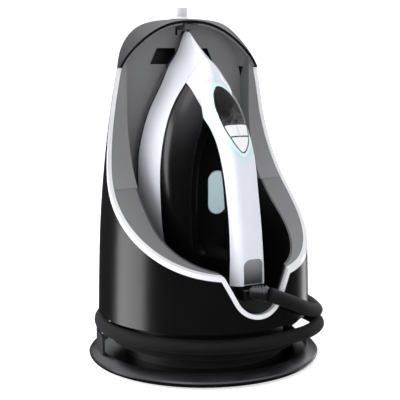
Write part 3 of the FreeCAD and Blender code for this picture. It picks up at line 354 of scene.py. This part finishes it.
def braided_polyester():
    """Black yarn: two slanted waves multiplied give the diamonds, and a fine noise gives the fibres."""
    material, tree, shader = start_material("braided_polyester_sleeve", Roughness=0.85, Sheen_Weight=0.03,
                                            Sheen_Roughness=0.5, Specular_IOR_Level=0.3)
    uv = add(tree, "ShaderNodeUVMap", uv_map="along_and_round")
    split = add(tree, "ShaderNodeSeparateXYZ", links={"Vector": uv.outputs[0]})
    along = add(tree, "ShaderNodeMath", {1: math.pi / YARN_PITCH}, {0: split.outputs["X"]},
                operation="MULTIPLY")
    around = add(tree, "ShaderNodeMath", {1: math.pi * YARNS_ROUND}, {0: split.outputs["Y"]},
                 operation="MULTIPLY")
    waves = []
    for slant in ("ADD", "SUBTRACT"):
        phase = add(tree, "ShaderNodeMath", links={0: along.outputs[0], 1: around.outputs[0]},
                    operation=slant)
        wave = add(tree, "ShaderNodeMath", links={0: phase.outputs[0]}, operation="SINE")
        waves.append(add(tree, "ShaderNodeMath", links={0: wave.outputs[0]}, operation="ABSOLUTE").outputs[0])
    yarn = add(tree, "ShaderNodeMath", links={0: waves[0], 1: waves[1]}, operation="MULTIPLY")
    fibre = add(tree, "ShaderNodeTexNoise", {"Scale": 1 / FIBRE_SIZE, "Detail": 2.0},
                {"Vector": add(tree, "ShaderNodeTexCoord").outputs["Object"]})
    height = add(tree, "ShaderNodeMath", {1: FIBRE_SHARE}, {0: fibre.outputs["Fac"], 2: yarn.outputs[0]},
                 operation="MULTIPLY_ADD")
    colour = add(tree, "ShaderNodeMix", {6: linear("#030304"), 7: linear("#0d0d0e")}, {0: yarn.outputs[0]},
                 data_type="RGBA")
    bump = add(tree, "ShaderNodeBump", {"Strength": 0.55, "Distance": YARN_HEIGHT},
               {"Height": height.outputs[0]})
    tree.links.new(colour.outputs[2], shader.inputs["Base Color"])
    tree.links.new(bump.outputs[0], shader.inputs["Normal"])
    return material


hose_mesh = swept_tube("steam_hose_sleeve", hose_line, HOSE_DIAMETER / 2)
sleeve_yarn = braided_polyester()
hose = place("steam_hose_sleeve", hose_mesh, "tower", sleeve_yarn, ["steam_hose"])

# %% [markdown]
# ## Where the hose leaves the handle
# A moulded boot of black plastic with a few grip rings keeps the hose from kinking at the handle. It runs
# straight from the handle's end to the hose's first point and widens a little on the way. The rings are one
# circle with a round section, repeated along the same line by Geometry Nodes.

# %% Sizes of the boot, and the tree that repeats its rings
BOOT_START = Vector((-9.0, -108.0, 92.5)) * MM
BOOT_RADIUS_START, BOOT_RADIUS_END = 6.3 * MM, 8.0 * MM
BOOT_GAP = 0.3 * MM
BOOT_STEPS = 12
BOOT_EDGE, BOOT_ROUNDING = 0.82, 3.0
RING_COUNT = 5
RING_THICKNESS = 0.9 * MM
RING_RISE = 0.2 * MM
FIRST_RING, LAST_RING = 0.2, 0.85
boot_end = hose_line[0] - (hose_line[1] - hose_line[0]).normalized() * BOOT_GAP


def ring_row(name, start, end, count, near, far, thickness, material):
    """Rings of round section along a line, their radius going from near to far, as one plain mesh."""
    tree = bpy.data.node_groups.new(name, "GeometryNodeTree")
    for label, kind in (("Start", "NodeSocketVector"), ("End", "NodeSocketVector"),
                        ("Count", "NodeSocketInt"), ("Near radius", "NodeSocketFloat"),
                        ("Far radius", "NodeSocketFloat"), ("Thickness", "NodeSocketFloat")):
        tree.interface.new_socket(label, in_out="INPUT", socket_type=kind)
    tree.interface.new_socket("Geometry", in_out="OUTPUT", socket_type="NodeSocketGeometry")
    given = add(tree, "NodeGroupInput")
    line = add(tree, "GeometryNodeMeshLine", mode="END_POINTS",
               links={"Count": given.outputs["Count"], "Start Location": given.outputs["Start"],
                      "Offset": given.outputs["End"]})
    circle = add(tree, "GeometryNodeCurvePrimitiveCircle", {"Resolution": 40, "Radius": 1.0})
    section = add(tree, "GeometryNodeCurvePrimitiveCircle", {"Resolution": 10})
    last = add(tree, "ShaderNodeMath", {1: 1.0}, {0: given.outputs["Count"]}, operation="SUBTRACT")
    share = add(tree, "ShaderNodeMath", links={0: add(tree, "GeometryNodeInputIndex").outputs[0],
                                               1: last.outputs[0]}, operation="DIVIDE")
    size = add(tree, "ShaderNodeMapRange",
               links={"Value": share.outputs[0], "To Min": given.outputs["Near radius"],
                      "To Max": given.outputs["Far radius"]})
    axis = add(tree, "ShaderNodeVectorMath", links={0: given.outputs["End"], 1: given.outputs["Start"]},
               operation="SUBTRACT")
    turned = add(tree, "FunctionNodeAlignRotationToVector", links={"Vector": axis.outputs[0]}, axis="Z")
    rings = add(tree, "GeometryNodeInstanceOnPoints",
                links={"Points": line.outputs[0], "Instance": circle.outputs[0],
                       "Rotation": turned.outputs[0], "Scale": size.outputs[0]})
    real = add(tree, "GeometryNodeRealizeInstances", links={"Geometry": rings.outputs[0]})
    tree.links.new(given.outputs["Thickness"], section.inputs["Radius"])
    tubes = add(tree, "GeometryNodeCurveToMesh", links={"Curve": real.outputs[0],
                                                        "Profile Curve": section.outputs[0]})
    painted = add(tree, "GeometryNodeSetMaterial", {"Material": material}, {"Geometry": tubes.outputs[0]})
    add(tree, "NodeGroupOutput", links={"Geometry": painted.outputs[0]})
    carrier = bpy.data.objects.new(name, bpy.data.meshes.new(name))
    modifier = carrier.modifiers.new("rings", "NODES")
    modifier.node_group = tree
    sockets = {item.name: item.identifier for item in tree.interface.items_tree if item.in_out == "INPUT"}
    for label, value in (("Start", start), ("End", end), ("Count", count), ("Near radius", near),
                         ("Far radius", far), ("Thickness", thickness)):
        modifier[sockets[label]] = value
    data = plain_mesh(carrier)
    for face in data.polygons:
        face.use_smooth = True
    return data


# %% [markdown]
# ## Moulded plastics
# Nearly all that shows is moulded plastic: ABS for the casing, nylon or polycarbonate elsewhere. A mould
# leaves its own finish: polished steel gives a mirror with a very slight ripple, as molten plastic shrinks
# unevenly, and an etched mould gives a fine even grain. One function makes both. Its ripple or grain has a
# size in millimetres, and one slow cloud moves both the roughness and the colour, which stands for handling.

# %% Moulded plastic
CLOUD_SIZE = 45 * MM


def moulded(name, colour, worn, roughness, grain, depth, coat=0.0, ior=1.5, spread=0.04):
    """Plastic from a mould: colour drifts to worn, grain and depth are the surface's texture in metres."""
    material, tree, shader = start_material(name, IOR=ior, Coat_Weight=coat, Coat_Roughness=0.06)
    spot = add(tree, "ShaderNodeTexCoord").outputs["Object"]
    cloud = add(tree, "ShaderNodeTexNoise", {"Scale": 1 / CLOUD_SIZE, "Detail": 4.0, "Roughness": 0.6},
                {"Vector": spot})
    tone = add(tree, "ShaderNodeMix", {6: linear(colour), 7: linear(worn)}, {0: cloud.outputs["Fac"]},
               data_type="RGBA")
    rough = add(tree, "ShaderNodeMapRange", {"To Min": roughness - spread, "To Max": roughness + spread},
                {"Value": cloud.outputs["Fac"]})
    surface = add(tree, "ShaderNodeTexNoise", {"Scale": 1 / grain, "Detail": 2.0}, {"Vector": spot})
    relief = add(tree, "ShaderNodeBump", {"Strength": 0.5, "Distance": depth},
                 {"Height": surface.outputs["Fac"]})
    tree.links.new(tone.outputs[2], shader.inputs["Base Color"])
    tree.links.new(rough.outputs[0], shader.inputs["Roughness"])
    tree.links.new(relief.outputs[0], shader.inputs["Normal"])
    return material


def recoloured(material, name, code, mask_of):
    """Copy of a plastic whose colour turns to the code where the mask, built in its own tree, is one."""
    copy = material.copy()
    copy.name = name
    tree = copy.node_tree
    shader = next(node for node in tree.nodes if node.type == "BSDF_PRINCIPLED")
    first = shader.inputs["Base Color"].links[0].from_socket
    mixed = add(tree, "ShaderNodeMix", {7: linear(code)}, {0: mask_of(tree), 6: first}, data_type="RGBA")
    tree.links.new(mixed.outputs[2], shader.inputs["Base Color"])
    return copy


# %% The plastics of this object
# Polished moulds leave a clear mirror with a ripple 6 to 9 mm wide. Etched moulds leave a matt grain, drawn
# about a millimetre wide, coarser than a real one, so that it shows.
casing_abs = moulded("polished_black_abs", "#060607", "#0b0b0c", 0.25, 9 * MM, 0.03 * MM, ior=1.47)
cover_abs = moulded("polished_black_iron_abs", "#060607", "#0a0a0b", 0.24, 9 * MM, 0.03 * MM, ior=1.42)
liner_abs = moulded("etched_grey_abs", "#727273", "#7b7b7c", 0.46, 0.9 * MM, 0.03 * MM)
trim_abs = moulded("polished_white_abs", "#dadadc", "#e1e1e3", 0.24, 8 * MM, 0.02 * MM, coat=0.2)
body_abs = moulded("polished_pearl_white_abs", "#d0d2da", "#d9dbe1", 0.26, 9 * MM, 0.03 * MM, coat=0.2)
collar_abs = moulded("etched_slate_abs", "#616162", "#69696a", 0.46, 0.9 * MM, 0.03 * MM)
# The catch is grey plastic painted darker, for the shade it sits in.
shaded_catch_abs = moulded("etched_grey_abs_with_painted_shade", "#4a4a4b", "#525253", 0.46, 0.9 * MM, 0.03 * MM)
guard_abs = moulded("etched_dark_grey_abs", "#2c2c2e", "#343436", 0.42, 0.8 * MM, 0.02 * MM)
inner_abs = moulded("etched_black_abs", "#0a0a0b", "#111112", 0.5, 0.8 * MM, 0.02 * MM)
gloss_nylon = moulded("polished_black_nylon", "#0a0a0b", "#141415", 0.26, 6 * MM, 0.04 * MM, coat=0.2)
natural_nylon = moulded("natural_nylon", "#d6d4ca", "#dedcd4", 0.42, 1.2 * MM, 0.03 * MM)
mint_abs = moulded("mint_abs", "#c6e2e4", "#cfe7e8", 0.36, 1.0 * MM, 0.02 * MM)
end_abs = moulded("etched_mid_grey_abs", "#8a8a8d", "#949497", 0.44, 0.9 * MM, 0.02 * MM)
foot_rubber = moulded("black_foot_rubber", "#141414", "#1c1c1c", 0.82, 0.6 * MM, 0.05 * MM, ior=1.52)
smoked_pc = moulded("smoked_polycarbonate", "#191c20", "#23272b", 0.14, 8 * MM, 0.02 * MM, coat=0.3, ior=1.58)
silicone = moulded("milky_silicone", "#d8d7cf", "#e2e1da", 0.38, 3 * MM, 0.03 * MM, ior=1.41)

# %% [markdown]
# ## Colour that changes over one piece
# The white handle is tinted mint round its control panel, and the tint fades out within about a centimetre. A
# long ball, turned to lie along the panel, measures how far a point is from the panel's middle. The grey back
# of the pocket has recesses beside the catch, and everything behind its face is painted black as the shade in
# these recesses, so the colour turns with depth. The grey panel at the handle's end is painted darker towards
# its foot, where it lies in shade.

# %% Mint fade, painted shade in the recesses and shaded arch
PANEL_MIDDLE = (0.0, -54.6 * MM, 261.0 * MM)
PANEL_LEAN = math.radians(-38.5)
FADE_SIZE = (20.5 * MM, 1.0, 55 * MM)
FADE_START, FADE_END = 0.8, 1.02
RECESS_FACE = 47.2 * MM
ARCH_TOP, ARCH_FOOT = 124 * MM, 100 * MM


def near_panel(tree):
    """One on the panel, falling to nothing at the end of the mint tint."""
    ball = add(tree, "ShaderNodeMapping", {"Location": PANEL_MIDDLE, "Rotation": (PANEL_LEAN, 0, 0),
                                           "Scale": FADE_SIZE},
               {"Vector": add(tree, "ShaderNodeTexCoord").outputs["Object"]}, vector_type="TEXTURE")
    distance = add(tree, "ShaderNodeVectorMath", links={0: ball.outputs[0]}, operation="LENGTH")
    fade = add(tree, "ShaderNodeMapRange",
               {"From Min": FADE_START, "From Max": FADE_END, "To Min": 1.0, "To Max": 0.0},
               {"Value": distance.outputs["Value"]}, interpolation_type="SMOOTHSTEP")
    return fade.outputs[0]


def shade_in_recess(tree):
    """One behind the face of the pocket's back wall, where the recesses get their painted black shade."""
    spot = add(tree, "ShaderNodeSeparateXYZ",
               links={"Vector": add(tree, "ShaderNodeTexCoord").outputs["Object"]})
    behind_face = add(tree, "ShaderNodeMath", {1: RECESS_FACE}, {0: spot.outputs["Y"]},
                      operation="GREATER_THAN")
    return behind_face.outputs[0]


def down_the_arch(tree):
    """Nothing at the top of the handle's end panel and one at its foot."""
    spot = add(tree, "ShaderNodeSeparateXYZ",
               links={"Vector": add(tree, "ShaderNodeTexCoord").outputs["Object"]})
    shade = add(tree, "ShaderNodeMapRange", {"From Min": ARCH_TOP, "From Max": ARCH_FOOT},
                {"Value": spot.outputs["Z"]})
    return shade.outputs[0]


arch_abs = recoloured(end_abs, "grey_abs_dark_at_its_foot", "#3a3a3c", down_the_arch)
handle_abs = recoloured(body_abs, "pearl_white_abs_with_mint_fade", "#bcd8da", near_panel)
# Everything behind the back wall's face is painted near-black, as the shade in its recesses.
back_wall_abs_with_painted_shade = recoloured(liner_abs, "grey_abs_with_painted_recess_shade", "#0b0b0c", shade_in_recess)
print("two-coloured plastics:", arch_abs.name, handle_abs.name, back_wall_abs_with_painted_shade.name)

# %% [markdown]
# ## Metals, glass and boards
# The sole plate is stainless steel, ground in one direction and polished, so its scratches are long and thin.
# The generator and the heating block are cast aluminium with a coarse sandy skin. Screws and heaters are zinc
# plated. The display is a dark acrylic window with a smoky grey print, and the keys are a white plastic
# with dark specks. The boards inside are green lacquer over copper tracks.

# %% Metals
def metal(name, colour, bright, roughness, grain, depth, stretch=(1, 1, 1)):
    """Bare metal: a noise, stretched along the grinding if there was any, moves its roughness and height."""
    material, tree, shader = start_material(name, Metallic=1.0)
    ground = add(tree, "ShaderNodeMapping", {"Scale": stretch},
                 {"Vector": add(tree, "ShaderNodeTexCoord").outputs["Object"]})
    noise = add(tree, "ShaderNodeTexNoise", {"Scale": 1 / grain, "Detail": 5.0, "Roughness": 0.65},
                {"Vector": ground.outputs[0]})
    tone = add(tree, "ShaderNodeMix", {6: linear(colour), 7: linear(bright)}, {0: noise.outputs["Fac"]},
               data_type="RGBA")
    rough = add(tree, "ShaderNodeMapRange", {"To Min": roughness * 0.7, "To Max": roughness * 1.4},
                {"Value": noise.outputs["Fac"]})
    relief = add(tree, "ShaderNodeBump", {"Strength": 0.4, "Distance": depth},
                 {"Height": noise.outputs["Fac"]})
    tree.links.new(tone.outputs[2], shader.inputs["Base Color"])
    tree.links.new(rough.outputs[0], shader.inputs["Roughness"])
    tree.links.new(relief.outputs[0], shader.inputs["Normal"])
    return material


ground_steel = metal("ground_stainless_steel", "#a9abaf", "#c6c8cb", 0.24, 0.8 * MM, 0.01 * MM, (1, 1, 0.04))
cast_aluminium = metal("sand_cast_aluminium", "#a5a6a8", "#bdbec0", 0.5, 1.5 * MM, 0.12 * MM)
zinc_steel = metal("zinc_plated_steel", "#a6aab2", "#c3c7cc", 0.3, 2.0 * MM, 0.02 * MM)


# %% Smoky display window
WINDOW_TOP, WINDOW_FOOT = 292 * MM, 247 * MM
SMOKE_DRIFT = 0.25
SMOKE_START, SMOKE_END = 0.5, 0.72


def smoked_window():
    """Dark acrylic: a cloud of grey print that thickens towards the window's foot."""
    material, tree, shader = start_material("smoked_display_acrylic", IOR=1.3, Roughness=0.2,
                                            Specular_IOR_Level=0.12)
    spot = add(tree, "ShaderNodeTexCoord").outputs["Object"]
    height = add(tree, "ShaderNodeSeparateXYZ", links={"Vector": spot})
    downward = add(tree, "ShaderNodeMapRange", {"From Min": WINDOW_TOP, "From Max": WINDOW_FOOT,
                                                "To Min": -SMOKE_DRIFT, "To Max": SMOKE_DRIFT},
                   {"Value": height.outputs["Z"]})
    smoke = add(tree, "ShaderNodeTexNoise", {"Scale": 1 / (16 * MM), "Detail": 7.0, "Roughness": 0.7,
                                             "Distortion": 1.2}, {"Vector": spot})
    depth = add(tree, "ShaderNodeMath", links={0: smoke.outputs["Fac"], 1: downward.outputs[0]},
                operation="ADD")
    tones = add(tree, "ShaderNodeValToRGB", links={"Fac": depth.outputs[0]})
    for stop, share, code in zip(tones.color_ramp.elements, (SMOKE_START, SMOKE_END), ("#0c0a0a", "#565555")):
        stop.position = share
        stop.color = linear(code)
    tree.links.new(tones.outputs["Color"], shader.inputs["Base Color"])
    return material


# %% Speckled key plastic
SPECK_PITCH = 0.9 * MM
SPECK_CORE, SPECK_EDGE = 0.12, 0.3


def speckled_key():
    """White plastic with a dark fleck in each cell of a random net."""
    material, tree, shader = start_material("speckled_white_key_plastic", IOR=1.5, Roughness=0.4)
    spot = add(tree, "ShaderNodeTexCoord").outputs["Object"]
    specks = add(tree, "ShaderNodeTexVoronoi", {"Scale": 1 / SPECK_PITCH, "Randomness": 1.0},
                 {"Vector": spot})
    mask = add(tree, "ShaderNodeMapRange", {"From Min": SPECK_CORE, "From Max": SPECK_EDGE},
               {"Value": specks.outputs["Distance"]})
    tone = add(tree, "ShaderNodeMix", {6: linear("#b4b7ba"), 7: linear("#e9eaec")}, {0: mask.outputs[0]},
               data_type="RGBA")
    relief = add(tree, "ShaderNodeBump", {"Strength": 0.3, "Distance": 0.05 * MM},
                 {"Height": mask.outputs[0]})
    tree.links.new(tone.outputs[2], shader.inputs["Base Color"])
    tree.links.new(relief.outputs[0], shader.inputs["Normal"])
    return material


# %% Lacquered circuit board
TRACK_PITCH = 9 * MM


def circuit_board():
    """Green lacquer, lighter where it covers a track."""
    material, tree, shader = start_material("green_lacquered_board", IOR=1.55, Roughness=0.35)
    spot = add(tree, "ShaderNodeTexCoord").outputs["Object"]
    tracks = add(tree, "ShaderNodeTexBrick", {"Scale": 1 / TRACK_PITCH, "Mortar Size": 0.05,
                                              "Color1": linear("#0b4a27"), "Color2": linear("#0e5a30"),
                                              "Mortar": linear("#3f8a50")}, {"Vector": spot})
    tree.links.new(tracks.outputs["Color"], shader.inputs["Base Color"])
    return material


display_acrylic, key_plastic, board = smoked_window(), speckled_key(), circuit_board()
print("made:", display_acrylic.name, key_plastic.name, board.name)

# %% [markdown]
# ## Boot in place
# The boot is swept along its straight line by the function that made the hose, with a radius that grows from
# the handle to the sleeve and drops at both ends, so that its edges look rounded off.

# %% Boot and its rings
boot_axis = boot_end - BOOT_START
boot_line = [BOOT_START + boot_axis * (k / BOOT_STEPS) for k in range(BOOT_STEPS + 1)]


def boot_taper(distance):
    """Radius of the boot as a share of its end radius."""
    share = distance / boot_axis.length
    straight = (BOOT_RADIUS_START + (BOOT_RADIUS_END - BOOT_RADIUS_START) * share) / BOOT_RADIUS_END
    return straight * min(1.0, BOOT_EDGE + BOOT_ROUNDING * min(share, 1.0 - share))


boot_mesh = swept_tube("hose_boot", boot_line, BOOT_RADIUS_END, 40, boot_taper)
place("hose_boot", boot_mesh, "iron", gloss_nylon, ["strain_relief"])
rings_mesh = ring_row("boot_rings", BOOT_START + boot_axis * FIRST_RING, BOOT_START + boot_axis * LAST_RING,
                      RING_COUNT, BOOT_RADIUS_START + RING_RISE, BOOT_RADIUS_END, RING_THICKNESS, gloss_nylon)
place("boot_rings", rings_mesh, "iron", gloss_nylon)
print("boot: %.1f mm long, %d rings" % (boot_axis.length / MM, RING_COUNT))

# %% [markdown]
# ## Gasket of the control panel, which also stands in for the shade of its gap
# A thin black lip lies in the gap round the window and the keys, and two more lie between the window, the
# pair of keys and the lower key. They are black plastic and also stand in for the shade in these gaps, so all
# have the etched black finish, which stays dark beside the white. The panel's pointed oval is known on a flat
# plane, but the handle is curved. Each point is therefore dropped along the panel's normal until it meets the
# handle.

# %% Gaskets, which also stand in for the shade of the gaps
PANEL_TOP = Vector((0, -29.24, 292.8)) * MM
PANEL_END = Vector((0, -80.0, 229.0)) * MM
# half width in millimetres at a few shares of the panel's length
PANEL_SHAPE = [(0.0, 0.0), (0.06, 6.6), (0.22, 12.0), (0.42, 14.0), (0.62, 13.4), (0.80, 10.4), (0.94, 5.4),
               (1.0, 0.0)]
WINDOW_END, PAIR_END = 0.62, 0.79
LIP_RADIUS = 0.7 * MM
LIP_SUNK = 0.4  # share of its radius
LIP = 0.7 * MM
RAY_HEIGHT = 40 * MM
BESIDE = 0.012  # share of the panel's length
CROSS_STEPS = 8
panel_middle = (PANEL_TOP + PANEL_END) / 2
panel_down = (PANEL_END - PANEL_TOP).normalized()
panel_length = (PANEL_END - PANEL_TOP).length
panel_out = Vector((0, panel_down.z, -panel_down.y))


def tree_of(names):
    """Ray target made of a few engineering pieces."""
    corners, faces = [], []
    for name in names:
        piece = frame["nodes"][name]
        first = len(corners)
        corners += [piece.matrix_world @ v.co for v in piece.data.vertices]
        faces += [[first + i for i in face.vertices] for face in piece.data.polygons]
    return BVHTree.FromPolygons(corners, faces)


handle_surface = tree_of(["handle_shell", "panel_halo", "display_window", "key_left", "key_right",
                          "key_lower"])


def panel_place(share, across):
    """Point of the panel's plane at a share of its length and a distance from its centre line."""
    return panel_middle + panel_down * (share * panel_length - panel_length / 2) + Vector((across, 0, 0))


def on_handle(flat, beside):
    """The flat point raised to the height at which the handle's surface lies beside it."""
    hit = handle_surface.ray_cast(beside + panel_out * RAY_HEIGHT, -panel_out)[0]
    height = (hit - beside).dot(panel_out) if hit else 0.0
    return flat + panel_out * (height - LIP_RADIUS * LIP_SUNK)


def oval_half(share):
    """Half width of the panel at a share of its length, straight between the listed places, in metres."""
    for (s0, w0), (s1, w1) in zip(PANEL_SHAPE, PANEL_SHAPE[1:]):
        if share <= s1:
            return (w0 + (w1 - w0) * (share - s0) / (s1 - s0)) * MM
    return 0.0


def rounded_oval():
    """Points of the curve that runs through the oval's listed places."""
    right = [panel_place(share, half * MM) for share, half in PANEL_SHAPE]
    left = [panel_place(share, -half * MM) for share, half in reversed(PANEL_SHAPE[1:-1])]
    curve = bpy.data.curves.new("panel_oval", "CURVE")
    curve.dimensions = "3D"
    spline = curve.splines.new("BEZIER")
    spline.bezier_points.add(len(right + left) - 1)
    for point, spot in zip(spline.bezier_points, right + left):
        point.co = spot
        point.handle_left_type = point.handle_right_type = "AUTO"
    spline.use_cyclic_u = True
    spline.resolution_u = 8
    return points_of(curve)


lip_line = [on_handle(spot, spot + (spot - panel_middle).normalized() * LIP) for spot in rounded_oval()]
lips = [lip_line + lip_line[:1]]
for share in (WINDOW_END, PAIR_END):
    half = oval_half(share) - LIP
    across = [half * (k / CROSS_STEPS - 1) for k in range(2 * CROSS_STEPS + 1)]
    lips.append([on_handle(panel_place(share, x), panel_place(share - BESIDE, x)) for x in across])
# The lips are drawn black, which also paints the shade of the panel's gaps.
for number, line in enumerate(lips):
    place("panel_gasket_%d" % number, swept_tube("panel_gasket_%d" % number, line, LIP_RADIUS, 10), "iron",
          inner_abs)
print("gaskets:", len(lips))

# %% [markdown]
# ## Finish of the pieces that keep their engineering shape
# The record names a material slot for each piece. The table here gives each slot its finish, so that every
# piece of the frame is painted in one loop, also those that sit inside and never show.

# %% One finish for each slot
FINISHES = {
    "gloss_black_casing": casing_abs, "matte_grey_liner": liner_abs, "white_trim": trim_abs,
    "white_knob": trim_abs, "dark_grey_guard": guard_abs, "black_inner_plastic": inner_abs,
    "rubber": foot_rubber, "steel_hardware": zinc_steel, "cast_aluminium": cast_aluminium,
    "pump_plastic": natural_nylon, "circuit_board": board, "clear_hose": silicone, "gland_black": gloss_nylon,
    "smoked_tank": smoked_pc, "tank_valve": natural_nylon, "soleplate_steel": ground_steel,
    "surround_black": inner_abs, "white_body": body_abs, "black_cover": cover_abs, "mint_plastic": mint_abs,
    "display_glass": display_acrylic, "white_keys": key_plastic, "grey_end_panel": end_abs,
    "braided_hose": sleeve_yarn,
}
NODE_FINISHES = {"handle_shell": handle_abs, "back_liner": back_wall_abs_with_painted_shade, "handle_end_panel": arch_abs,
                 "pocket_collar": collar_abs, "lock_catch": shaded_catch_abs}
slot_of = {part["node"]: part["material_slot"] for part in frame["record"]["subparts"]}
for node_name, node_object in frame["nodes"].items():
    for material_slot in node_object.material_slots:
        material_slot.link = "OBJECT"
        material_slot.material = NODE_FINISHES.get(node_name, FINISHES[slot_of[node_name]])
print("finishes:", len(FINISHES))
